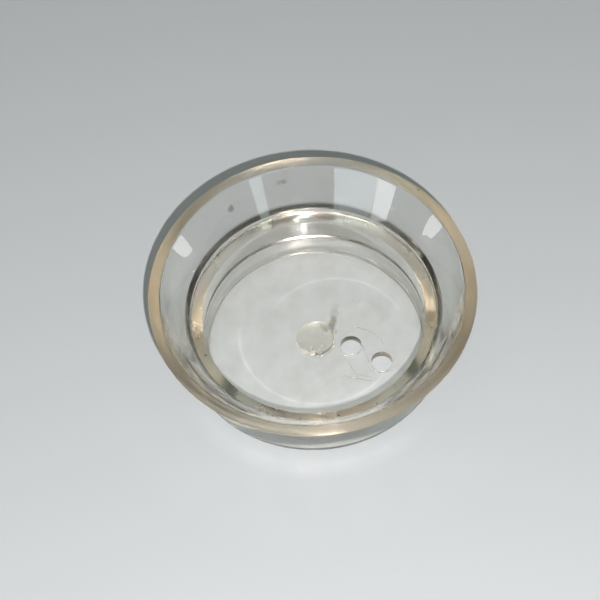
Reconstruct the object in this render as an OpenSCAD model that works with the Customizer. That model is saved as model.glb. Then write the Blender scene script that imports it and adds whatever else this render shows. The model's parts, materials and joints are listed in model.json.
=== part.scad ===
// Clear plastic sampler cup: a plain lower cup with a flared collar bonded round its rim,
// a flat floor disc with two through-holes, and a low round pad bonded at the floor's centre.
// Millimetres, +Z up. The origin is the centre of the foot, where the cup stands,
// and +X runs along the line through the two holes.

/* [Lower cup] */
// Bore of the lower cup
cup_bore_d = 38.8; // [32:0.2:50]
// Wall of the lower cup
cup_wall_t = 1.9; // [1.4:0.1:3]
// Height of the lower cup's wall, from the foot to the ledge
cup_wall_h = 10.3; // [8:0.1:16]
// Radius that rounds the outside of the foot
foot_round = 1.7; // [0.2:0.1:1.8]
// Width of the shallow bevel round the inside of the ledge
ledge_bevel_w = 0.8; // [0.2:0.1:1]
// Drop of that bevel
ledge_bevel_h = 0.2; // [0.1:0.05:0.6]

/* [Flared collar] */
// Wall of the sleeve that fits over the lower cup
sleeve_wall_t = 1.7; // [1.2:0.1:3]
// How far the sleeve laps over the lower cup
sleeve_lap = 6.5; // [2:0.1:8]
// Straight step between the ledge and the start of the flare
step_h = 1.3; // [0.6:0.1:3]
// How far the flare spreads, measured level, from the sleeve's bore to the mouth
flare_run = 4.5; // [3:0.1:8]
// Height of the flare
flare_h = 6.7; // [5:0.1:12]
// Width of the flat rim face
rim_face_w = 2.1; // [1.5:0.1:3]
// Small bevel on the rim's two edges
rim_edge = 0.15; // [0.05:0.05:0.4]

/* [Floor] */
// Thickness of the floor disc
floor_t = 1.5; // [1:0.1:3]
// Diameter of each through-hole
hole_d = 3.8; // [3:0.1:5]
// Distance between the two holes
hole_pitch = 6.35; // [5:0.05:7.5]
// Distance along X from the cup's axis to the first hole
first_hole_x = 5.95; // [5.8:0.05:6.5]
// Distance along Y from the cup's axis to the line of the holes
hole_line_y = 2.3; // [0:0.05:3]

/* [Centre pad] */
// Diameter of the pad
pad_d = 6.6; // [4:0.1:7]
// Height of the pad
pad_h = 1.0; // [0.6:0.1:2]
// Radius that rounds the pad's top edge
pad_round = 0.3; // [0.1:0.05:0.5]

/* [Cement] */
// Gap between bonded pieces, which the cement fills
bond_gap = 0.1; // [0.05:0.05:0.3]
// Leg of the cement bead where the wall meets the floor
floor_bead = 0.9; // [0.3:0.1:1.5]
// Leg of the cement bead under the sleeve
sleeve_bead = 0.4; // [0.2:0.05:0.8]
// Leg of the cement bead between the ledge and the collar's step
ledge_bead = 0.3; // [0.2:0.05:0.5]
// How far the pad's cement shows past the pad
pad_squeeze = 0.25; // [0.1:0.05:0.5]
// Width of the cement smear beside the pad
smear_w = 1.0; // [0.6:0.1:1.5]
// Length of the cement smear, from the pad's cement to its far end
smear_l = 2.2; // [1:0.1:3]
// Direction of the smear from the cup's axis, from +X towards +Y
smear_angle = 83; // [60:1:120]

/* [Hidden] */
$fn = 180;
cut = 1; // how far a cutting shape runs past the face it cuts

bore_r = cup_bore_d / 2;
cup_r = bore_r + cup_wall_t;
sleeve_bore_r = cup_r + bond_gap;
sleeve_r = sleeve_bore_r + sleeve_wall_t;
mouth_r = sleeve_bore_r + flare_run;
rim_r = mouth_r + rim_face_w;

sleeve_foot_z = cup_wall_h - sleeve_lap;
flare_foot_z = cup_wall_h + step_h;
rim_z = flare_foot_z + flare_h;
flare_slope = flare_run / flare_h; // level spread for each millimetre of height
shoulder_z = rim_z - (rim_r - sleeve_r) / flare_slope;

floor_r = bore_r - bond_gap;
floor_cement_foot_z = floor_t / 5;
pad_r = pad_d / 2;
pad_foot_z = floor_t + bond_gap;

// A square corner of the given leg, hollowed by a quarter circle: the section of a cement bead.
// The corner is at the origin, and the legs run towards -X and +Y.
module bead_section(leg) {
    difference() {
        translate([-leg, 0]) square(leg);
        translate([-leg, leg]) circle(leg);
    }
}

// What is left of a square corner outside a quarter circle: cut from a section to round it.
// The corner is at the origin, and the material lies towards -X and -Y.
module round_cut(radius) {
    difference() {
        translate([-radius, -radius]) square(radius + cut);
        translate([-radius, -radius]) circle(radius);
        translate([-radius - cut, -radius - cut]) square([cut, radius + 2 * cut]);
        translate([-radius - cut, -radius - cut]) square([radius + 2 * cut, cut]);
    }
}

// Flared mouth and the sleeve under it, turned from one section
module flared_collar() {
    color([0.93, 0.91, 0.84, 0.45])
    rotate_extrude()
    polygon([
        [sleeve_bore_r, sleeve_foot_z],
        [sleeve_r, sleeve_foot_z],
        [sleeve_r, shoulder_z],
        [rim_r - flare_slope * rim_edge, rim_z - rim_edge],
        [rim_r - flare_slope * rim_edge - rim_edge, rim_z],
        [mouth_r + rim_edge, rim_z],
        [mouth_r - flare_slope * rim_edge, rim_z - rim_edge],
        [sleeve_bore_r, flare_foot_z]
    ]);
}

// Plain tube of the lower cup, with its rounded foot and bevelled ledge
module cup_wall() {
    color([0.90, 0.91, 0.88, 0.45])
    rotate_extrude()
    difference() {
        translate([bore_r, 0]) square([cup_wall_t, cup_wall_h]);
        translate([cup_r, 0]) mirror([0, 1]) round_cut(foot_round);
        polygon([
            [bore_r - cut, cup_wall_h - ledge_bevel_h * (1 + cut / ledge_bevel_w)],
            [bore_r + ledge_bevel_w, cup_wall_h],
            [bore_r - cut, cup_wall_h]
        ]);
    }
}

// Flat disc let into the foot of the lower cup, with two plain through-holes
module floor_disc() {
    color([0.88, 0.90, 0.88, 0.45])
    difference() {
        cylinder(h = floor_t, r = floor_r);
        for (k = [0, 1])
            translate([first_hole_x + k * hole_pitch, hole_line_y, -cut])
            cylinder(h = floor_t + 2 * cut, d = hole_d);
    }
}

// Low round pad at the centre of the floor
module centre_pad() {
    color([0.86, 0.85, 0.76, 0.7])
    translate([0, 0, pad_foot_z])
    rotate_extrude()
    difference() {
        square([pad_r, pad_h]);
        translate([pad_r, pad_h]) round_cut(pad_round);
    }
}

// Cement between the sleeve and the lower cup, with the beads squeezed out at both ends
module collar_cement() {
    color([0.85, 0.78, 0.60, 0.8])
    rotate_extrude() {
        translate([cup_r, sleeve_foot_z]) square([bond_gap, sleeve_lap]);
        translate([cup_r, sleeve_foot_z]) mirror([1, 0]) mirror([0, 1])
            bead_section(bond_gap + sleeve_bead);
        translate([sleeve_bore_r, cup_wall_h]) bead_section(bond_gap + ledge_bead);
    }
}

// Cement between the floor disc and the wall, with the bead in the corner above it
module floor_cement() {
    color([0.83, 0.83, 0.78, 0.8])
    rotate_extrude() {
        translate([floor_r, floor_cement_foot_z]) square([bond_gap, floor_t - floor_cement_foot_z]);
        translate([bore_r, floor_t]) bead_section(floor_bead);
    }
}

// Cement film under the pad, with the smear that ran out to one side
module pad_cement() {
    film_r = pad_r + pad_squeeze;
    color([0.55, 0.52, 0.38, 0.8])
    translate([0, 0, floor_t])
    linear_extrude(bond_gap) {
        circle(film_r);
        rotate(smear_angle) {
            translate([film_r - smear_w, -smear_w / 2]) square([smear_l + smear_w / 2, smear_w]);
            translate([film_r + smear_l - smear_w / 2, 0]) circle(smear_w / 2);
        }
    }
}

flared_collar();
cup_wall();
floor_disc();
centre_pad();
collar_cement();
floor_cement();
pad_cement();
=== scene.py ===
"""Looks of the clear plastic sampler cup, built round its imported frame.

Metres, in the frame's own axes: the cup stands on z = 0, its axis is the origin,
and +X runs along the line of the two holes.
"""

import json
import math
from collections import namedtuple

import bpy
from mathutils import Matrix, Vector


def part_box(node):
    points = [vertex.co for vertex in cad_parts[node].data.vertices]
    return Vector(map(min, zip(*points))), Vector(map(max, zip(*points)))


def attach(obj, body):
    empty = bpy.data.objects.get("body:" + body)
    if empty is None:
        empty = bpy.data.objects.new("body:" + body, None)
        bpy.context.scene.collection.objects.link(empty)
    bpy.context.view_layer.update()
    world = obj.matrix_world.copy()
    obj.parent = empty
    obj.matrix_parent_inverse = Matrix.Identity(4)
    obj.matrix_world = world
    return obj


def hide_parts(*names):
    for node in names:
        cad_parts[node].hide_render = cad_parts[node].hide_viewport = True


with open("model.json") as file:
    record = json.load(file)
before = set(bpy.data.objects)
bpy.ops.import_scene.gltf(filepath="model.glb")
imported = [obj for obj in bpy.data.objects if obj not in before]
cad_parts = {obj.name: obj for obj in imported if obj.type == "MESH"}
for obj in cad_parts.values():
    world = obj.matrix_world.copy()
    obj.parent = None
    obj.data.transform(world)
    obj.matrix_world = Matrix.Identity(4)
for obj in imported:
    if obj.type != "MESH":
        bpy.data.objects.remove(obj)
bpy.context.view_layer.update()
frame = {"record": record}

MM = 0.001


# ---------------------------------------------------------------- sizes

def low(node):
    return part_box(node)[0]


def high(node):
    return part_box(node)[1]


CUP_R = high("cup_wall").x
CUP_TOP = high("cup_wall").z
BORE_R = high("floor_cement").x
FLOOR_R = high("floor_disc").x
FLOOR_TOP = high("floor_disc").z
FLOOR_CEMENT_FOOT = low("floor_cement").z
FLOOR_BEAD = high("floor_cement").z - FLOOR_TOP
SLEEVE_FOOT = low("flared_collar").z
RIM_TOP = high("flared_collar").z
BOND_GAP = BORE_R - FLOOR_R
SLEEVE_BORE_R = CUP_R + BOND_GAP
SLEEVE_BEAD = SLEEVE_FOOT - low("collar_cement").z
LEDGE_BEAD = high("collar_cement").z - CUP_TOP
PAD_R = high("centre_pad").x
PAD_FOOT = low("centre_pad").z
PAD_TOP = high("centre_pad").z
PAD_FILM_R = -low("pad_cement").x

FOOT_ROUND = 1.7 * MM
LEDGE_BEVEL_W = 0.8 * MM
LEDGE_BEVEL_H = 0.2 * MM
LEDGE_EDGE = 0.08 * MM
SLEEVE_WALL = 1.7 * MM
SLEEVE_EDGE = 0.15 * MM
STEP_H = 1.3 * MM
FLARE_RUN = 4.5 * MM
RIM_FACE_W = 2.1 * MM
RIM_EDGE = 0.265 * MM
HOLE_EDGE = 0.12 * MM
PAD_ROUND = 0.3 * MM
SMEAR_W = 1.0 * MM
SMEAR_L = 2.2 * MM
SMEAR_H = 0.05 * MM
SMEAR_ANGLE = math.radians(83)
SMEAR_TOP_SHARE = (0.75, 0.6, 1)    # draws the smear's top in towards the cup's axis, in X and Y

FLARE_FOOT = CUP_TOP + STEP_H
FLARE_SLOPE = FLARE_RUN / (RIM_TOP - FLARE_FOOT)
SLEEVE_R = SLEEVE_BORE_R + SLEEVE_WALL
MOUTH_R = SLEEVE_BORE_R + FLARE_RUN
RIM_R = MOUTH_R + RIM_FACE_W
SHOULDER = RIM_TOP - (RIM_R - SLEEVE_R) / FLARE_SLOPE

holes = {mount["name"]: mount for mount in frame["record"]["mounts"]}["bracket_holes"]
HOLE_MID = Vector(holes["pos_m"])
HOLE_R = holes["dims"]["hole_r_mm"] * MM
HOLE_PITCH = holes["dims"]["spacing_x_mm"] * MM

# Lines of old cement on the floor, as (x, y) points in millimetres
WITNESS_W = 0.12 * MM
WITNESS_H = 0.06 * MM
WITNESS_LINES = {
    "witness_far": [(4.05, 5.76), (5.6, 6.2), (7.18, 6.42), (8.57, 6.53), (9.9, 6.1), (10.69, 5.4)],
    "witness_mid": [(7.61, 3.32), (9.0, 2.25), (10.47, 0.99)],
    "witness_near": [(7.45, -0.81), (8.7, -1.75), (9.97, -2.24), (12.48, -1.32)],
    "witness_end": [(8.2, -3.54), (10.4, -2.95), (12.9, -2.01)],
}

KEYED = 0.01 * MM       # how far bonded clear pieces reach into each other
WELD = 0.0005 * MM      # points closer than this are one point
ON_RING = 0.01 * MM     # how close to a ring a point has to lie to belong to it

# Sides round each kind of round piece
TURNED_SIDES = 256
PAD_SIDES = 128
FILM_SIDES = 96
HOLE_SIDES = 96
SMEAR_SIDES = 48

CLEAR_SMOOTH = 30       # degrees between faces up to which a piece shades smooth
LINE_SMOOTH = 40
CEMENT_SMOOTH = 50


# ---------------------------------------------------------------- camera

RIM_CENTRE = Vector((0, 0, RIM_TOP))
CAMERA_AZIMUTH = math.radians(35.73)
CAMERA_HEIGHT = math.radians(57.7)
CAMERA_ROLL = math.radians(4.2)
CAMERA_DISTANCE = 294 * MM
CAMERA_LENS = 104.22
CAMERA_SENSOR = 36
CAMERA_NEAR = 0.01
CAMERA_FAR = 20
AIM_RIGHT = -2.014 * MM
AIM_UP = -1.794 * MM


def seen_from(azimuth, height):
    """Direction from the cup towards a place: azimuth 0 is -Y and 90 degrees is +X."""
    return Vector((
        math.sin(azimuth) * math.cos(height),
        -math.cos(azimuth) * math.cos(height),
        math.sin(height),
    ))


def make_camera():
    """Camera aimed a little beside the rim's centre; gives back its place, right and up."""
    back = seen_from(CAMERA_AZIMUTH, CAMERA_HEIGHT)
    level = Vector((math.cos(CAMERA_AZIMUTH), math.sin(CAMERA_AZIMUTH), 0))
    upright = back.cross(level)
    right = level * math.cos(CAMERA_ROLL) - upright * math.sin(CAMERA_ROLL)
    up = upright * math.cos(CAMERA_ROLL) + level * math.sin(CAMERA_ROLL)
    place = RIM_CENTRE + back * CAMERA_DISTANCE
    aim = RIM_CENTRE + right * AIM_RIGHT + up * AIM_UP
    back = (place - aim).normalized()
    right = up.cross(back).normalized()
    up = back.cross(right)
    lens = bpy.data.cameras.new("camera")
    lens.sensor_width = CAMERA_SENSOR
    lens.lens = CAMERA_LENS
    lens.clip_start = CAMERA_NEAR
    lens.clip_end = CAMERA_FAR
    camera = bpy.data.objects.new("camera", lens)
    bpy.context.collection.objects.link(camera)
    turn = Matrix((right, up, back)).transposed()
    camera.matrix_world = Matrix.Translation(place) @ turn.to_4x4()
    bpy.context.scene.camera = camera
    return place, right, up


camera_place, camera_right, camera_up = make_camera()


# ---------------------------------------------------------------- modelling

def clear_selection():
    bpy.ops.object.select_all(action="DESELECT")


def select_only(piece):
    clear_selection()
    piece.select_set(True)
    bpy.context.view_layer.objects.active = piece


def close_seams(piece):
    """Puts the piece's place in its mesh, joins doubled points and turns the faces outwards."""
    select_only(piece)
    bpy.ops.object.transform_apply(location=True, rotation=True, scale=True)
    bpy.ops.object.mode_set(mode="EDIT")
    bpy.ops.mesh.select_all(action="SELECT")
    bpy.ops.mesh.remove_doubles(threshold=WELD)
    bpy.ops.mesh.normals_make_consistent(inside=False)
    bpy.ops.object.mode_set(mode="OBJECT")


def finish_piece(piece, name, smooth_angle=CLEAR_SMOOTH):
    close_seams(piece)
    bpy.ops.object.shade_smooth_by_angle(angle=math.radians(smooth_angle))
    piece.name = name
    piece.data.name = name
    return piece


def turn_ring(section):
    """Turns a closed section, a list of (radius, height), once round the cup's axis."""
    clear_selection()
    radius, height = section[0]
    bpy.ops.mesh.primitive_circle_add(vertices=TURNED_SIDES, radius=radius, location=(0, 0, height))
    piece = bpy.context.object
    bpy.ops.object.mode_set(mode="EDIT")
    bpy.ops.mesh.select_all(action="SELECT")
    for next_radius, next_height in section[1:] + section[:1]:
        rise = next_height - height
        grow = next_radius / radius
        bpy.ops.mesh.extrude_edges_move(TRANSFORM_OT_translate={"value": (0, 0, rise)})
        bpy.ops.transform.resize(value=(grow, grow, 1), center_override=(0, 0, next_height))
        radius, height = next_radius, next_height
    bpy.ops.object.mode_set(mode="OBJECT")
    close_seams(piece)
    return piece


def raise_disc(sides, radius, foot, rise):
    """Solid disc round the cup's axis, from its foot up by this rise."""
    clear_selection()
    bpy.ops.mesh.primitive_circle_add(
        vertices=sides, radius=radius, fill_type="NGON", location=(0, 0, foot))
    disc = bpy.context.object
    bpy.ops.object.mode_set(mode="EDIT")
    bpy.ops.mesh.select_all(action="SELECT")
    bpy.ops.mesh.extrude_region_move(TRANSFORM_OT_translate={"value": (0, 0, rise)})
    bpy.ops.object.mode_set(mode="OBJECT")
    close_seams(disc)
    return disc


def round_edges(piece, is_chosen, size, segments):
    """Rounds the edges of a piece whose two end points pass the test."""
    select_only(piece)
    bpy.ops.object.mode_set(mode="EDIT")
    bpy.ops.mesh.select_mode(type="EDGE")
    bpy.ops.mesh.select_all(action="DESELECT")
    bpy.ops.object.mode_set(mode="OBJECT")
    points = piece.data.vertices
    for edge in piece.data.edges:
        first, second = edge.vertices
        edge.select = is_chosen(points[first].co, points[second].co)
    bpy.ops.object.mode_set(mode="EDIT")
    bpy.ops.mesh.bevel(
        offset=size, segments=segments, profile=0.5, affect="EDGES", clamp_overlap=True)
    bpy.ops.mesh.select_mode(type="VERT")
    bpy.ops.object.mode_set(mode="OBJECT")


def is_on_ring(point, radius, height):
    off_radius = abs(math.hypot(point.x, point.y) - radius)
    off_height = abs(point.z - height)
    return off_radius < ON_RING and off_height < ON_RING


def round_ring(piece, radius, height, size, segments):
    """Rounds the sharp ring of a turned piece that lies at this radius and height."""
    def lies_on_ring(first, second):
        return is_on_ring(first, radius, height) and is_on_ring(second, radius, height)

    round_edges(piece, lies_on_ring, size, segments)


def bead_arc(corner, leg, towards_axis, upwards, steps=6):
    """Points along the hollow face of a cement bead in a corner, from its level leg to its upright leg."""
    radius, height = corner
    side = -1 if towards_axis else 1
    rise = 1 if upwards else -1
    centre_r = radius + side * leg
    centre_z = height + rise * leg
    points = []
    for step in range(steps + 1):
        angle = math.pi / 2 * step / steps
        points.append((
            centre_r - side * leg * math.sin(angle),
            centre_z - rise * leg * math.cos(angle),
        ))
    return points


# ---------------------------------------------------------------- pieces

def make_collar():
    """Flared mouth with its sleeve, turned in one piece."""
    ring = turn_ring([
        (SLEEVE_BORE_R, SLEEVE_FOOT),
        (SLEEVE_R, SLEEVE_FOOT),
        (SLEEVE_R, SHOULDER),
        (RIM_R, RIM_TOP),
        (MOUTH_R, RIM_TOP),
        (SLEEVE_BORE_R, FLARE_FOOT),
        (SLEEVE_BORE_R, CUP_TOP),
    ])
    round_ring(ring, RIM_R, RIM_TOP, RIM_EDGE, 3)
    round_ring(ring, MOUTH_R, RIM_TOP, RIM_EDGE, 3)
    round_ring(ring, SLEEVE_R, SLEEVE_FOOT, SLEEVE_EDGE, 2)
    return finish_piece(ring, "collar")


def make_cup_wall():
    """Tube of the lower cup with its rounded foot and its bevelled ledge."""
    tube = turn_ring([
        (BORE_R, 0),
        (CUP_R, 0),
        (CUP_R, CUP_TOP),
        (BORE_R + LEDGE_BEVEL_W, CUP_TOP),
        (BORE_R, CUP_TOP - LEDGE_BEVEL_H),
    ])
    round_ring(tube, CUP_R, 0, FOOT_ROUND, 10)
    round_ring(tube, CUP_R, CUP_TOP, LEDGE_EDGE, 2)
    return finish_piece(tube, "lower_cup")


def make_floor():
    """Floor disc with its two through-holes."""
    disc = raise_disc(TURNED_SIDES, FLOOR_R, 0, FLOOR_TOP)
    for side in (-1, 1):
        drill_hole(disc, HOLE_MID.x + side * HOLE_PITCH / 2, HOLE_MID.y)
    soften_holes(disc)
    return finish_piece(disc, "floor")


def drill_hole(disc, x, y):
    clear_selection()
    bpy.ops.mesh.primitive_cylinder_add(
        vertices=HOLE_SIDES, radius=HOLE_R, depth=4 * FLOOR_TOP, location=(x, y, FLOOR_TOP / 2))
    drill = bpy.context.object
    select_only(disc)
    cut = disc.modifiers.new("hole", "BOOLEAN")
    cut.operation = "DIFFERENCE"
    cut.solver = "EXACT"
    cut.object = drill
    bpy.ops.object.modifier_apply(modifier="hole")
    bpy.data.objects.remove(drill, do_unlink=True)


def soften_holes(disc):
    """Breaks the edges of both holes, top and bottom."""
    def lies_round_hole(first, second):
        is_level = abs(first.z - second.z) < 0.001 * MM
        is_inside = math.hypot(first.x, first.y) < FLOOR_R - 1 * MM
        return is_level and is_inside

    round_edges(disc, lies_round_hole, HOLE_EDGE, 2)


def make_pad():
    """Low round pad, its top edge rounded over."""
    pad = raise_disc(PAD_SIDES, PAD_R, PAD_FOOT, PAD_TOP - PAD_FOOT)
    round_ring(pad, PAD_R, PAD_TOP, PAD_ROUND, 5)
    return finish_piece(pad, "pad")


def make_collar_cement():
    """Cement between the sleeve and the lower cup, with the beads squeezed out at both ends."""
    inner = CUP_R - KEYED
    outer = SLEEVE_BORE_R + KEYED
    foot_z = SLEEVE_FOOT + KEYED
    head_z = CUP_TOP - KEYED
    foot = bead_arc((inner, foot_z), SLEEVE_BEAD, towards_axis=False, upwards=False)
    head = bead_arc((outer, head_z), LEDGE_BEAD, towards_axis=True, upwards=True)
    section = [(outer, foot_z)] + foot + [(inner, foot_z), (inner, head_z)] + head
    return finish_piece(turn_ring(section), "collar_bond", CEMENT_SMOOTH)


def make_floor_cement():
    """Cement between the floor disc and the wall, with a bead in the corner above it."""
    inner = FLOOR_R - KEYED
    outer = BORE_R + KEYED
    head_z = FLOOR_TOP - KEYED
    bead = bead_arc((outer, head_z), FLOOR_BEAD, towards_axis=True, upwards=True)
    section = [(outer, FLOOR_CEMENT_FOOT), (inner, FLOOR_CEMENT_FOOT), (inner, head_z)] + bead
    return finish_piece(turn_ring(section), "floor_bond", CEMENT_SMOOTH)


def make_pad_cement():
    """Film of old cement under the pad."""
    foot = FLOOR_TOP - KEYED
    rise = PAD_FOOT - foot + KEYED
    return finish_piece(raise_disc(FILM_SIDES, PAD_FILM_R, foot, rise), "pad_bond")


def make_smear():
    """Smear of old cement that ran out from under the pad: a thin tongue, thicker at its root."""
    clear_selection()
    along = Vector((math.cos(SMEAR_ANGLE), math.sin(SMEAR_ANGLE), 0))
    middle = along * (PAD_FILM_R + SMEAR_L / 2)
    bpy.ops.mesh.primitive_circle_add(
        vertices=SMEAR_SIDES, radius=SMEAR_L / 2, fill_type="NGON",
        location=(middle.x, middle.y, FLOOR_TOP - KEYED))
    smear = bpy.context.object
    smear.scale = (1, SMEAR_W / SMEAR_L, 1)
    smear.rotation_euler.z = SMEAR_ANGLE
    bpy.ops.object.mode_set(mode="EDIT")
    bpy.ops.mesh.select_all(action="SELECT")
    bpy.ops.mesh.extrude_region_move(TRANSFORM_OT_translate={"value": (0, 0, SMEAR_H)})
    bpy.ops.transform.resize(value=SMEAR_TOP_SHARE, center_override=(0, 0, 0))
    bpy.ops.object.mode_set(mode="OBJECT")
    return finish_piece(smear, "pad_smear")


def make_witness_line(name, points):
    """Thin line of old cement left on the floor where the edge of a removed foot lay."""
    clear_selection()
    route = bpy.data.curves.new(name, "CURVE")
    route.dimensions = "3D"
    route.bevel_depth = WITNESS_W / 2
    route.bevel_resolution = 2
    route.use_fill_caps = True
    spline = route.splines.new("POLY")
    spline.points.add(len(points) - 1)
    for point, (x, y) in zip(spline.points, points):
        point.co = (x * MM, y * MM, 0, 1)
    line = bpy.data.objects.new(name, route)
    bpy.context.collection.objects.link(line)
    select_only(line)
    bpy.ops.object.convert(target="MESH")
    line.location.z = FLOOR_TOP
    line.scale.z = WITNESS_H / WITNESS_W
    return finish_piece(line, name, LINE_SMOOTH)


# ---------------------------------------------------------------- finishes

ACRYLIC_IOR = 1.49
SAWN_FADE = 0.02 * MM       # height over which a sawn face begins

# Share of a lamp's light that gets through a surface, in red, green and blue
EDGE_ON = (0.74, 0.78, 0.76)
FACE_ON = (0.97, 0.975, 0.98)
THIN_PIECE = (1.0, 1.0, 1.0)
RIM_SHADOW = (0.06, 0.08, 0.06)
LEDGE_SHADOW = (0.60, 0.60, 0.57)

# Colour that light takes on its way through
PLASTIC_AMBER = (1.0, 0.86, 0.62)
CEMENT_AMBER = (1.0, 0.82, 0.52)

# Colours of wear and dirt, and the painted shade of the cup's foot and of the flare's shoulder
SPECK = (0.45, 0.40, 0.32)
DUST_FILM = (0.74, 0.74, 0.71)
# painted shade on the cup's foot, for the shadowed table seen through it
FOOT_SHADE = (0.70, 0.71, 0.69)
# painted shade in the dark band at the foot of the flare
SHOULDER_SHADE = (0.07, 0.075, 0.07)
SANDED_GRAIN = (0.97, 0.95, 0.90)
SMUDGE = (0.30, 0.29, 0.25)

TABLE_DARKER = (0.52, 0.535, 0.535)
TABLE_LIGHTER = (0.555, 0.565, 0.57)
# painted light: the table paler under the cup, where the round walls gather the light
TABLE_LIT_UNDER_CUP = (0.62, 0.63, 0.63)
TABLE_GLEAM = (0.80, 0.81, 0.82)

PAINTED_SHADE_LINE = (-0.58, 0.81, 0)    # painted shade: towards both ends of this line, the line of sight, the sawn faces are painted greyer and darker for how the flash falls on them
BROWNER_SIDE = (0.99, -0.12, 0)    # towards this side the sawn faces are darker and browner

# A sawn and sanded face: all of the piece that lies above its height, with the colours of its fresh and
# worn places, of its pale places that carry painted shade and of its browner side, its roughness, and the
# light it lets through
SawnFace = namedtuple("SawnFace", "height fresh worn pale dull_side roughness shadow")

# A bright arc on the table where the round walls gather the flash: part of a circle, absent up to
# start and whole from full on, both measured from the cup's axis in the direction of side
Gleam = namedtuple("Gleam", "centre radius width side start full strength")

NEAR_GLEAM = Gleam(
    centre=(-0.5 * MM, 1.8 * MM, 0), radius=14.2 * MM, width=0.55 * MM,
    side=(0.25, -0.97, 0), start=0, full=5 * MM, strength=0.9)
FAR_GLEAM = Gleam(
    centre=(2.7 * MM, 2.26 * MM, 0), radius=13.0 * MM, width=0.55 * MM,
    side=(-0.45, 0.89, 0), start=6 * MM, full=12 * MM, strength=0.8)
OUTER_GLEAM = Gleam(
    centre=(0, 0, 0), radius=24.0 * MM, width=3.5 * MM,
    side=(0.45, -0.89, 0), start=12 * MM, full=26 * MM, strength=0.5)

# Scales of the patterns: the larger, the finer
WAVE_SCALE = 90.0
TURNING_SCALE = 420.0
HAIR_SCALE = 1400.0
CROSS_HAIR_SCALE = 1300.0
HAZE_SCALE = 160.0
SPECK_SCALE = 420.0
FEW_SPECKS_SCALE = 700.0
FILM_SCALE = 260.0
PATCH_SCALE = 220.0
GRAIN_SCALE = 2600.0
RAGGED_SCALE = 900.0
LUMP_SCALE = 500.0
BUBBLE_SCALE = 1800.0
GLEAM_PATCH_SCALE = 160.0
TABLE_CLOUD_SCALE = 3.0
TABLE_SKIN_SCALE = 40.0

# Depths of the reliefs
TURNING_DEPTH = 0.5e-6
GRAIN_DEPTH = 1.5e-6
LUMP_DEPTH = 4e-6
BUBBLE_DEPTH = 1.0e-6

FOOT_SHADE_FULL = 0.5 * MM       # painted shade: the foot is greyed whole up to here, and fades out by the next height
FOOT_SHADE_END = 1.3 * MM
LIT_UNDER_CUP_FULL = 17 * MM        # the same for the painted light that makes the table paler under the cup, by its distance from the axis
LIT_UNDER_CUP_END = 20 * MM
PAINTED_SHADE_FROM = 10 * MM             # where the painted shade and the browner side of a sawn face begin
BROWNER_FROM = -6 * MM
SAWN_FULL = 26 * MM             # and where both are at their strongest


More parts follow.
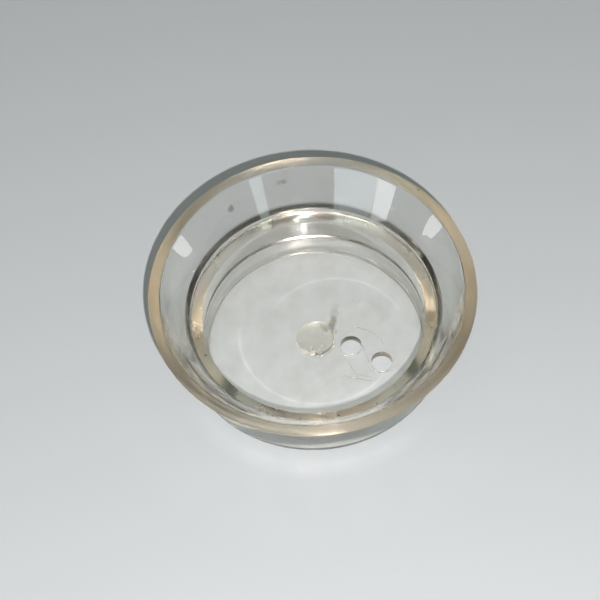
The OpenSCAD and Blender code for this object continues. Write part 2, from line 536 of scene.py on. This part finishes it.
class Finish:
    """A material with its nodes at hand."""

    def __init__(self, name):
        self.material = bpy.data.materials.new(name)
        self.material.use_nodes = True
        self.tree = self.material.node_tree
        self.shader = self.tree.nodes["Principled BSDF"]
        self.output = self.tree.nodes["Material Output"]
        self.place = self.node("ShaderNodeTexCoord").outputs["Object"]

    def link(self, output, socket):
        self.tree.links.new(output, socket)

    def feed(self, socket, value):
        """Gives a socket another node's output, a colour or a plain value."""
        if isinstance(value, bpy.types.NodeSocket):
            self.link(value, socket)
        elif socket.type == "RGBA":
            socket.default_value = (*value, 1)
        else:
            socket.default_value = value

    def node(self, kind, settings=None, **values):
        """New node with these settings, and these values for its inputs, with _ for a space."""
        made = self.tree.nodes.new(kind)
        for key, value in (settings or {}).items():
            setattr(made, key, value)
        for key, value in values.items():
            self.feed(made.inputs[key.replace("_", " ")], value)
        return made

    def maths(self, operation, first, second=0.0):
        made = self.node("ShaderNodeMath", {"operation": operation})
        self.feed(made.inputs[0], first)
        self.feed(made.inputs[1], second)
        return made.outputs["Value"]

    def vector_maths(self, operation, first, second, output):
        made = self.node("ShaderNodeVectorMath", {"operation": operation})
        self.feed(made.inputs[0], first)
        self.feed(made.inputs[1], second)
        return made.outputs[output]

    def length(self, vector):
        return self.vector_maths("LENGTH", vector, (0, 0, 0), "Value")

    def ramp(self, value, start, end, low_value=0.0, high_value=1.0):
        """Turns the range start..end of a value into low_value..high_value, and holds it beyond."""
        return self.node(
            "ShaderNodeMapRange", {"clamp": True}, Value=value,
            From_Min=start, From_Max=end, To_Min=low_value, To_Max=high_value,
        ).outputs["Result"]

    def blend(self, amount, first, second):
        """Colour that goes from the first to the second as the amount goes from 0 to 1."""
        made = self.node("ShaderNodeMix", {"data_type": "RGBA"})
        self.feed(made.inputs[0], amount)
        self.feed(made.inputs[6], first)
        self.feed(made.inputs[7], second)
        return made.outputs[2]

    def mix_shaders(self, amount, first, second):
        made = self.node("ShaderNodeMixShader")
        self.link(amount, made.inputs[0])
        self.link(first, made.inputs[1])
        self.link(second, made.inputs[2])
        return made.outputs["Shader"]

    def stretched(self, x, y, z):
        return self.node("ShaderNodeMapping", Vector=self.place, Scale=(x, y, z)).outputs["Vector"]

    def mottle(self, scale, detail=3.0, rough=0.5, place=None):
        return self.node(
            "ShaderNodeTexNoise", Vector=place or self.place,
            Scale=scale, Detail=detail, Roughness=rough,
        ).outputs["Fac"]

    def relief(self, height, depth, below=None):
        made = self.node("ShaderNodeBump", Height=height, Strength=1.0, Distance=depth)
        if below is not None:
            self.link(below, made.inputs["Normal"])
        return made.outputs["Normal"]

    def height(self):
        """Height above the table."""
        return self.node("ShaderNodeSeparateXYZ", Vector=self.place).outputs["Z"]

    def from_axis(self):
        """Level distance from the cup's axis."""
        return self.length(self.stretched(1.0, 1.0, 0.0))

    def from_place(self, place):
        return self.length(self.vector_maths("SUBTRACT", self.place, place, "Vector"))

    def along(self, direction):
        """Distance from the cup's axis, measured in one level direction."""
        return self.vector_maths("DOT_PRODUCT", self.place, direction, "Value")

    def spot(self, place, radius):
        """1 inside a ragged round mark at this place, and 0 outside it."""
        wander = self.ramp(self.mottle(RAGGED_SCALE), 0.3, 0.7, 0.75, 1.3)
        ragged = self.maths("MULTIPLY", self.from_place(place), wander)
        return self.ramp(ragged, radius * 0.6, radius, 1.0, 0.0)

    def gleam(self, arc):
        """Soft bright line along an arc, with a wider fainter one round it."""
        off = self.maths("SUBTRACT", self.from_place(arc.centre), arc.radius)
        off = self.maths("ABSOLUTE", off)
        line = self.ramp(off, 0.0, arc.width, arc.strength, 0.0)
        glow = self.ramp(off, 0.0, 5 * arc.width, 0.25 * arc.strength, 0.0)
        shown = self.ramp(self.along(arc.side), arc.start, arc.full)
        patchy = self.ramp(self.mottle(GLEAM_PATCH_SCALE), 0.3, 0.6, 0.5, 1.0)
        shown = self.maths("MULTIPLY", shown, patchy)
        return self.maths("MULTIPLY", self.maths("MAXIMUM", line, glow), shown)

    def wetted(self, joints):
        """1 on the upright faces that cement wets, given as (radius, foot, head), and 0 elsewhere."""
        from_axis = self.from_axis()
        height = self.height()
        every = None
        for radius, foot, head in joints:
            off = self.maths("ABSOLUTE", self.maths("SUBTRACT", from_axis, radius))
            near = self.maths("LESS_THAN", off, 2 * KEYED)
            near = self.maths("MULTIPLY", near, self.maths("GREATER_THAN", height, foot))
            near = self.maths("MULTIPLY", near, self.maths("LESS_THAN", height, head))
            every = near if every is None else self.maths("MAXIMUM", every, near)
        return every

    def make_clear(self):
        self.shader.inputs["Transmission Weight"].default_value = 1.0
        self.shader.inputs["IOR"].default_value = ACRYLIC_IOR

    def tint_body(self, colour, density):
        """Colour that light takes over the length of its way through."""
        body = self.node("ShaderNodeVolumeAbsorption", Color=colour, Density=density)
        self.link(body.outputs["Volume"], self.output.inputs["Volume"])

    def let_light_through(self, edge_on, face_on, cut_face=None, cut_shadow=None, joints=()):
        """Lamps shine through: most of the light face on, less edge on, and little at a cut face.

        At its joints the piece is as if one with its neighbour: light passes straight through there.
        """
        facing = self.node("ShaderNodeLayerWeight", Blend=0.5).outputs["Facing"]
        tint = self.blend(self.ramp(facing, 0.35, 0.95), face_on, edge_on)
        if cut_face is not None:
            tint = self.blend(cut_face, tint, cut_shadow)
        clear = self.node("ShaderNodeBsdfTransparent", Color=tint).outputs["BSDF"]
        path = self.node("ShaderNodeLightPath")
        surface = self.shader.outputs["BSDF"]
        for ray in ("Is Diffuse Ray", "Is Shadow Ray"):
            surface = self.mix_shaders(path.outputs[ray], surface, clear)
        if joints:
            straight = self.node("ShaderNodeBsdfTransparent").outputs["BSDF"]
            surface = self.mix_shaders(self.wetted(joints), surface, straight)
        self.link(surface, self.output.inputs["Surface"])


def handled_skin(finish, dullness, scuffs, waviness):
    """Roughness and relief of a turned face: patchy haze, hairline scuffs both ways, turning marks."""
    waves = finish.mottle(WAVE_SCALE, 2.0)
    rings = finish.node(
        "ShaderNodeTexWave", {"wave_type": "RINGS", "rings_direction": "SPHERICAL"},
        Vector=finish.place, Scale=TURNING_SCALE, Distortion=1.5, Detail=1.0,
    ).outputs["Fac"]
    hairs = finish.mottle(HAIR_SCALE, 2.0, 0.6, finish.stretched(1.0, 0.12, 0.4))
    hairs_across = finish.mottle(CROSS_HAIR_SCALE, 2.0, 0.6, finish.stretched(0.1, 1.0, 0.5))
    haze = finish.mottle(HAZE_SCALE, 5.0, 0.6)
    scuffed = finish.maths(
        "MAXIMUM", finish.ramp(hairs, 0.62, 0.72), finish.ramp(hairs_across, 0.63, 0.73))
    scuffed = finish.maths("MULTIPLY", scuffed, finish.ramp(haze, 0.45, 0.65))
    dull = finish.ramp(haze, 0.35, 0.7, dullness * 0.5, dullness)
    rough = finish.maths("ADD", dull, finish.maths("MULTIPLY", scuffed, scuffs))
    relief = finish.relief(rings, TURNING_DEPTH, finish.relief(waves, waviness))
    return rough, relief


def dusty(finish, body, grime):
    """The body colour given, with small dark specks and a patchy film of dust; for the collar the body
    colour is partly painted shade.
    """
    grains = finish.node(
        "ShaderNodeTexVoronoi", Vector=finish.place, Scale=SPECK_SCALE, Randomness=1.0,
    ).outputs["Distance"]
    few = finish.ramp(finish.mottle(FEW_SPECKS_SCALE, 1.0), 0.66, 0.68)
    specks = finish.maths("MULTIPLY", finish.ramp(grains, 0.03, 0.06, 1.0, 0.0), few)
    colour = finish.blend(specks, body, SPECK)
    film = finish.ramp(finish.mottle(FILM_SCALE, 6.0, 0.7), 0.42, 0.75, 0.0, grime)
    return finish.blend(film, colour, DUST_FILM)


def painted_shade_ring(finish, colour, start, end, outer):
    """Painted shade: darkens the faces inside a radius, from one height up to another."""
    height = finish.height()
    ring = finish.ramp(height, end, end + 0.5 * MM, 1.0, 0.0)
    ring = finish.maths("MULTIPLY", ring, finish.ramp(height, start, start + 0.1 * MM))
    ring = finish.maths("MULTIPLY", ring, finish.maths("LESS_THAN", finish.from_axis(), outer))
    return finish.blend(ring, colour, SHOULDER_SHADE)


def sanded(finish, face, cut_face, colour, rough, relief):
    """Colour, roughness and relief with a sawn face put in: softly matt, and amber.

    The amber is painted light, that of light that comes out of the length of the wall.
    Towards both ends of the line of sight the face is painted greyer and darker, as painted shade.
    """
    patches = finish.mottle(PATCH_SCALE, 4.0, 0.55)
    grain = finish.mottle(GRAIN_SCALE, 3.0, 0.7, finish.stretched(1.0, 0.35, 1.0))
    off_middle = finish.maths("ABSOLUTE", finish.along(PAINTED_SHADE_LINE))
    tint = finish.blend(finish.ramp(patches, 0.35, 0.7), face.fresh, face.worn)
    tint = finish.blend(finish.ramp(grain, 0.55, 0.8, 0.0, 0.3), tint, SANDED_GRAIN)
    # painted shade: greyer and darker towards both ends of the line of sight
    tint = finish.blend(finish.ramp(off_middle, PAINTED_SHADE_FROM, SAWN_FULL), tint, face.pale)
    # darker and browner towards one side
    towards_browner = finish.ramp(finish.along(BROWNER_SIDE), BROWNER_FROM, SAWN_FULL, 0.0, 0.8)
    tint = finish.blend(towards_browner, tint, face.dull_side)
    colour = finish.blend(cut_face, colour, tint)
    dull = finish.ramp(patches, 0.3, 0.75, face.roughness * 0.7, face.roughness)
    rough = finish.maths("MAXIMUM", rough, finish.maths("MULTIPLY", dull, cut_face))
    relief = finish.relief(finish.maths("MULTIPLY", grain, cut_face), GRAIN_DEPTH, relief)
    return colour, rough, relief


def clear_plastic(
        name, body, amber, dullness, scuffs, waviness, grime,
        face_on=FACE_ON, sawn=None, marks=(), joints=(), shaded_foot=False, shoulder=None):
    """Clear cast plastic, gone faintly amber: turning marks, hairline scuffs, dust and handling haze.

    marks are the (place, radius, strength) of dark specks and smudges. A shaded foot is greyed
    low down as painted shade, and a shoulder (start, end, radius) is a thick ring painted dark as shade,
    as it looks from inside.
    """
    finish = Finish(name)
    finish.make_clear()
    rough, relief = handled_skin(finish, dullness, scuffs, waviness)
    colour = dusty(finish, body, grime)
    cut_face = None
    cut_shadow = None
    # painted shade: the foot greyed low down, for the shadowed table seen through it
    if shaded_foot:
        foot = finish.ramp(finish.height(), FOOT_SHADE_FULL, FOOT_SHADE_END, 1.0, 0.0)
        colour = finish.blend(foot, colour, FOOT_SHADE)
    # painted shade: the dark band at the foot of the flare
    if shoulder:
        colour = painted_shade_ring(finish, colour, *shoulder)
    if sawn:
        cut_face = finish.ramp(finish.height(), sawn.height - SAWN_FADE, sawn.height)
        cut_shadow = sawn.shadow
        colour, rough, relief = sanded(finish, sawn, cut_face, colour, rough, relief)
    for place, radius, strength in marks:
        mark = finish.maths("MULTIPLY", finish.spot(place, radius), strength)
        colour = finish.blend(mark, colour, SMUDGE)
        rough = finish.maths("MAXIMUM", rough, finish.maths("MULTIPLY", mark, 0.5))
    finish.link(rough, finish.shader.inputs["Roughness"])
    finish.link(relief, finish.shader.inputs["Normal"])
    finish.link(colour, finish.shader.inputs["Base Color"])
    finish.tint_body(PLASTIC_AMBER, amber)
    finish.let_light_through(EDGE_ON, face_on, cut_face, cut_shadow, joints)
    return finish.material


def cement(name, amber, fresh, old, roughness, joints=()):
    """Clear solvent cement: gently wavy skin, fine bubbles, and yellowing in patches."""
    finish = Finish(name)
    finish.make_clear()
    lumps = finish.mottle(LUMP_SCALE, 3.0, 0.6)
    cells = finish.node(
        "ShaderNodeTexVoronoi", Vector=finish.place, Scale=BUBBLE_SCALE).outputs["Distance"]
    bubbles = finish.ramp(cells, 0.05, 0.25, 1.0, 0.0)
    rough = finish.ramp(lumps, 0.35, 0.7, 0.02, roughness)
    relief = finish.relief(bubbles, BUBBLE_DEPTH, finish.relief(lumps, LUMP_DEPTH))
    colour = finish.blend(finish.ramp(lumps, 0.35, 0.65), fresh, old)
    finish.link(rough, finish.shader.inputs["Roughness"])
    finish.link(relief, finish.shader.inputs["Normal"])
    finish.link(colour, finish.shader.inputs["Base Color"])
    finish.tint_body(CEMENT_AMBER, amber)
    finish.let_light_through(FACE_ON, THIN_PIECE, joints=joints)
    return finish.material


def table_top():
    """Smooth pale table with the faintest unevenness, painted lighter under the cup, and painted arcs of
    light under and beside the cup.
    """
    finish = Finish("table_top")
    shader = finish.shader
    # painted light: the table paler under the cup, where the round walls gather the light
    lit_under_cup = finish.ramp(finish.from_place((0, 0, 0)), LIT_UNDER_CUP_FULL, LIT_UNDER_CUP_END, 0.9, 0.0)
    gleams = finish.maths("MAXIMUM", finish.gleam(NEAR_GLEAM), finish.gleam(FAR_GLEAM))
    gleams = finish.maths("MAXIMUM", gleams, finish.gleam(OUTER_GLEAM))
    colour = finish.blend(finish.mottle(TABLE_CLOUD_SCALE), TABLE_DARKER, TABLE_LIGHTER)
    colour = finish.blend(lit_under_cup, colour, TABLE_LIT_UNDER_CUP)
    colour = finish.blend(gleams, colour, TABLE_GLEAM)
    finish.link(colour, shader.inputs["Base Color"])
    rough = finish.ramp(finish.mottle(TABLE_SKIN_SCALE, 4.0), 0.3, 0.7, 0.30, 0.36)
    finish.link(rough, shader.inputs["Roughness"])
    shader.inputs["Specular IOR Level"].default_value = 0.5
    return finish.material


# ---------------------------------------------------------------- fitting out

def dress(piece, material):
    piece.data.materials.clear()
    piece.data.materials.append(material)
    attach(piece, "root")


RIM_SAWN = SawnFace(
    height=RIM_TOP - 0.05 * MM, fresh=(0.95, 0.85, 0.68), worn=(0.97, 0.90, 0.78),
    pale=(0.46, 0.455, 0.44), dull_side=(0.66, 0.59, 0.48), roughness=0.45, shadow=RIM_SHADOW)
LEDGE_SAWN = SawnFace(
    height=CUP_TOP - LEDGE_BEVEL_H, fresh=(0.98, 0.92, 0.83), worn=(0.99, 0.95, 0.89),
    pale=(0.84, 0.84, 0.82), dull_side=(0.98, 0.91, 0.80), roughness=0.34, shadow=LEDGE_SHADOW)

# Dark specks and smudges: place, radius, strength
COLLAR_MARKS = [
    ((-17.1 * MM, 17.6 * MM, 16.3 * MM), 0.6 * MM, 0.9),
    ((-17.7 * MM, 17.0 * MM, 16.3 * MM), 0.5 * MM, 0.9),
    ((-22.4 * MM, 8.4 * MM, 15.3 * MM), 0.8 * MM, 1.0),
    ((5.0 * MM, 27.0 * MM, RIM_TOP), 0.3 * MM, 1.0),
]
CUP_MARKS = [((-11.5 * MM, -16.5 * MM, CUP_TOP), 0.35 * MM, 1.0)]
FLOOR_MARKS = [
    ((9.7 * MM, 13.0 * MM, FLOOR_TOP), 0.25 * MM, 1.0),
    ((8.5 * MM, 11.0 * MM, FLOOR_TOP), 0.2 * MM, 1.0),
    ((1.0 * MM, 3.7 * MM, FLOOR_TOP), 0.95 * MM, 0.8),
    ((0.75 * MM, 4.5 * MM, FLOOR_TOP), 0.9 * MM, 0.75),
    ((0.4 * MM, 5.3 * MM, FLOOR_TOP), 0.8 * MM, 0.6),
    ((0.0 * MM, 6.4 * MM, FLOOR_TOP), 1.0 * MM, 0.35),
    ((-0.5 * MM, 7.5 * MM, FLOOR_TOP), 0.9 * MM, 0.25),
    ((1.9 * MM, 3.2 * MM, FLOOR_TOP), 0.8 * MM, 0.5),
]

# Upright faces that cement wets: radius, foot, head
SLEEVE_JOINT = (SLEEVE_BORE_R, SLEEVE_FOOT - MM, CUP_TOP + LEDGE_BEAD)
CUP_JOINT = (CUP_R, SLEEVE_FOOT - SLEEVE_BEAD, CUP_TOP)
WALL_JOINT = (BORE_R, FLOOR_CEMENT_FOOT, FLOOR_TOP + FLOOR_BEAD)
FLOOR_JOINT = (FLOOR_R, FLOOR_CEMENT_FOOT, FLOOR_TOP - 2 * KEYED)

# Painted shade: the dark band at the foot of the flare, from one height to another, inside a radius
SHOULDER_SHADE_BAND = (FLARE_FOOT - 0.1 * MM, FLARE_FOOT + 0.7 * MM, SLEEVE_R - 0.2 * MM)

# painted shade: the collar's body is greyer than the lower cup's, darkening the flare where the table seen
# through it lies in shade
collar_plastic = clear_plastic(
    "collar_clear", body=(0.87, 0.875, 0.87), amber=35.0, dullness=0.03, scuffs=0.06, waviness=3e-6,
    grime=0.1, sawn=RIM_SAWN, marks=COLLAR_MARKS, joints=(SLEEVE_JOINT,), shoulder=SHOULDER_SHADE_BAND)
cup_plastic = clear_plastic(
    "cup_clear", body=(0.97, 0.97, 0.96), amber=35.0, dullness=0.04, scuffs=0.06, waviness=3e-6,
    grime=0.1, sawn=LEDGE_SAWN, marks=CUP_MARKS, joints=(CUP_JOINT, WALL_JOINT), shaded_foot=True)
floor_plastic = clear_plastic(
    "floor_clear", body=(1.0, 1.0, 0.99), amber=20.0, dullness=0.12, scuffs=0.16, waviness=5e-6,
    grime=0.55, face_on=THIN_PIECE, marks=FLOOR_MARKS, joints=(FLOOR_JOINT,))
pad_plastic = clear_plastic(
    "pad_clear", body=(0.99, 0.99, 0.98), amber=12.0, dullness=0.12, scuffs=0.25, waviness=30e-6,
    grime=0.4, face_on=THIN_PIECE)
clear_cement = cement(
    "clear_cement", amber=40.0, fresh=(1.0, 0.99, 0.96), old=(0.99, 0.96, 0.90), roughness=0.10,
    joints=(SLEEVE_JOINT, CUP_JOINT, WALL_JOINT, FLOOR_JOINT))
old_cement = cement(
    "aged_cement", amber=200.0, fresh=(0.98, 0.975, 0.955), old=(0.92, 0.91, 0.86), roughness=0.35)
smear_cement = cement(
    "smear_cement", amber=900.0, fresh=(0.90, 0.88, 0.82), old=(0.80, 0.78, 0.70), roughness=0.5)

collar = make_collar()
dress(collar, collar_plastic)
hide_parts("flared_collar")

lower_cup = make_cup_wall()
dress(lower_cup, cup_plastic)
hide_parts("cup_wall")

floor_piece = make_floor()
dress(floor_piece, floor_plastic)
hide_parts("floor_disc")

pad = make_pad()
dress(pad, pad_plastic)
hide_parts("centre_pad")

collar_bond = make_collar_cement()
dress(collar_bond, clear_cement)
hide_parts("collar_cement")

floor_bond = make_floor_cement()
dress(floor_bond, clear_cement)
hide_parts("floor_cement")

pad_bond = make_pad_cement()
dress(pad_bond, old_cement)
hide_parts("pad_cement")

dress(make_smear(), smear_cement)

for line_name, line_points in WITNESS_LINES.items():
    dress(make_witness_line(line_name, line_points), old_cement)


# ---------------------------------------------------------------- stage and light

TABLE_SIZE = 6.0
TABLE_GAP = 0.02 * MM       # keeps the cup's underside and the table apart

FLASH_POWER = 3.9
FLASH_RADIUS = 2 * MM
FLASH_SPREAD = math.radians(110)
FLASH_RIGHT = 11.5 * MM     # from the camera
FLASH_DOWN = 17.6 * MM
FLASH_AIM = Vector((0, 0, 8 * MM))

WINDOW_DISTANCE = 1.5
WINDOW_MIDDLE = 0.42
WINDOW_TALL = 0.70
WINDOW_AIM = Vector((0, 0, 10 * MM))
# Degrees round from the camera, width, power, colour
WINDOWS = [
    (-33.5, 0.72, 6.4, (0.82, 0.95, 1.0)),
    (-53, 0.30, 4.6, (0.92, 0.98, 1.0)),
    (30.5, 0.20, 1.5, (0.85, 1.0, 0.95)),
]

GLINT_TURNS = [92, -90.5]   # degrees round from the camera
GLINT_DISTANCE = 0.3
GLINT_MIDDLE = 62 * MM
GLINT_WIDE = 50 * MM
GLINT_TALL = 64 * MM
GLINT_POWER = 0.045
GLINT_AIM = Vector((0, 0, 15 * MM))

CEILING_HEIGHT = 1.5
CEILING_WIDE = 1.1
CEILING_POWER = 1.7
CEILING_COLOUR = (1.0, 0.99, 0.97)
ROOM_COLOUR = (0.95, 0.98, 1.0, 1)
ROOM_STRENGTH = 0.07


def make_table():
    clear_selection()
    bpy.ops.mesh.primitive_plane_add(size=TABLE_SIZE, location=(0, 0, -TABLE_GAP))
    table = bpy.context.object
    table.name = "table"
    table.data.materials.append(table_top())


def hang_lamp(light, place):
    lamp = bpy.data.objects.new(light.name, light)
    bpy.context.collection.objects.link(lamp)
    lamp.location = place
    return lamp


def point_at(lamp, target):
    lamp.rotation_euler = (target - lamp.location).to_track_quat("-Z", "Y").to_euler()


def make_flash():
    """Small bright lamp close beside the camera."""
    light = bpy.data.lights.new("flash", "SPOT")
    light.energy = FLASH_POWER
    light.shadow_soft_size = FLASH_RADIUS
    light.spot_size = FLASH_SPREAD
    light.spot_blend = 0.5
    lamp = hang_lamp(light, camera_place + camera_right * FLASH_RIGHT - camera_up * FLASH_DOWN)
    point_at(lamp, FLASH_AIM)


def make_window(turn, width, power, colour):
    """Upright soft light panel some way behind the camera."""
    light = bpy.data.lights.new("window", "AREA")
    light.shape = "RECTANGLE"
    light.size = width
    light.size_y = WINDOW_TALL
    light.energy = power
    light.color = colour
    beside = seen_from(CAMERA_AZIMUTH + math.radians(turn), 0)
    lamp = hang_lamp(light, beside * WINDOW_DISTANCE + Vector((0, 0, WINDOW_MIDDLE)))
    point_at(lamp, WINDOW_AIM)


def make_glint(turn):
    """Small low lamp beside the cup, mirrored as a streak in the far wall of the flare."""
    light = bpy.data.lights.new("glint", "AREA")
    light.shape = "ELLIPSE"
    light.size = GLINT_WIDE
    light.size_y = GLINT_TALL
    light.energy = GLINT_POWER
    beside = seen_from(CAMERA_AZIMUTH + math.radians(turn), 0)
    lamp = hang_lamp(light, beside * GLINT_DISTANCE + Vector((0, 0, GLINT_MIDDLE)))
    point_at(lamp, GLINT_AIM)


def make_ceiling():
    """Wide soft lamp overhead."""
    light = bpy.data.lights.new("ceiling", "AREA")
    light.shape = "DISK"
    light.size = CEILING_WIDE
    light.energy = CEILING_POWER
    light.color = CEILING_COLOUR
    hang_lamp(light, (0, 0, CEILING_HEIGHT))


def make_room():
    world = bpy.data.worlds.new("studio")
    world.use_nodes = True
    background = world.node_tree.nodes["Background"]
    background.inputs["Color"].default_value = ROOM_COLOUR
    background.inputs["Strength"].default_value = ROOM_STRENGTH
    bpy.context.scene.world = world


make_table()
make_room()
make_flash()
for window in WINDOWS:
    make_window(*window)
for glint_turn in GLINT_TURNS:
    make_glint(glint_turn)
make_ceiling()

scene = bpy.context.scene
scene.view_settings.view_transform = "Standard"
scene.cycles.max_bounces = 24
scene.cycles.transmission_bounces = 24
scene.cycles.transparent_max_bounces = 32
scene.cycles.glossy_bounces = 12
scene.cycles.blur_glossy = 0.3
scene.cycles.sample_clamp_indirect = 0.0    # keeps the flash's streak in the flare bright
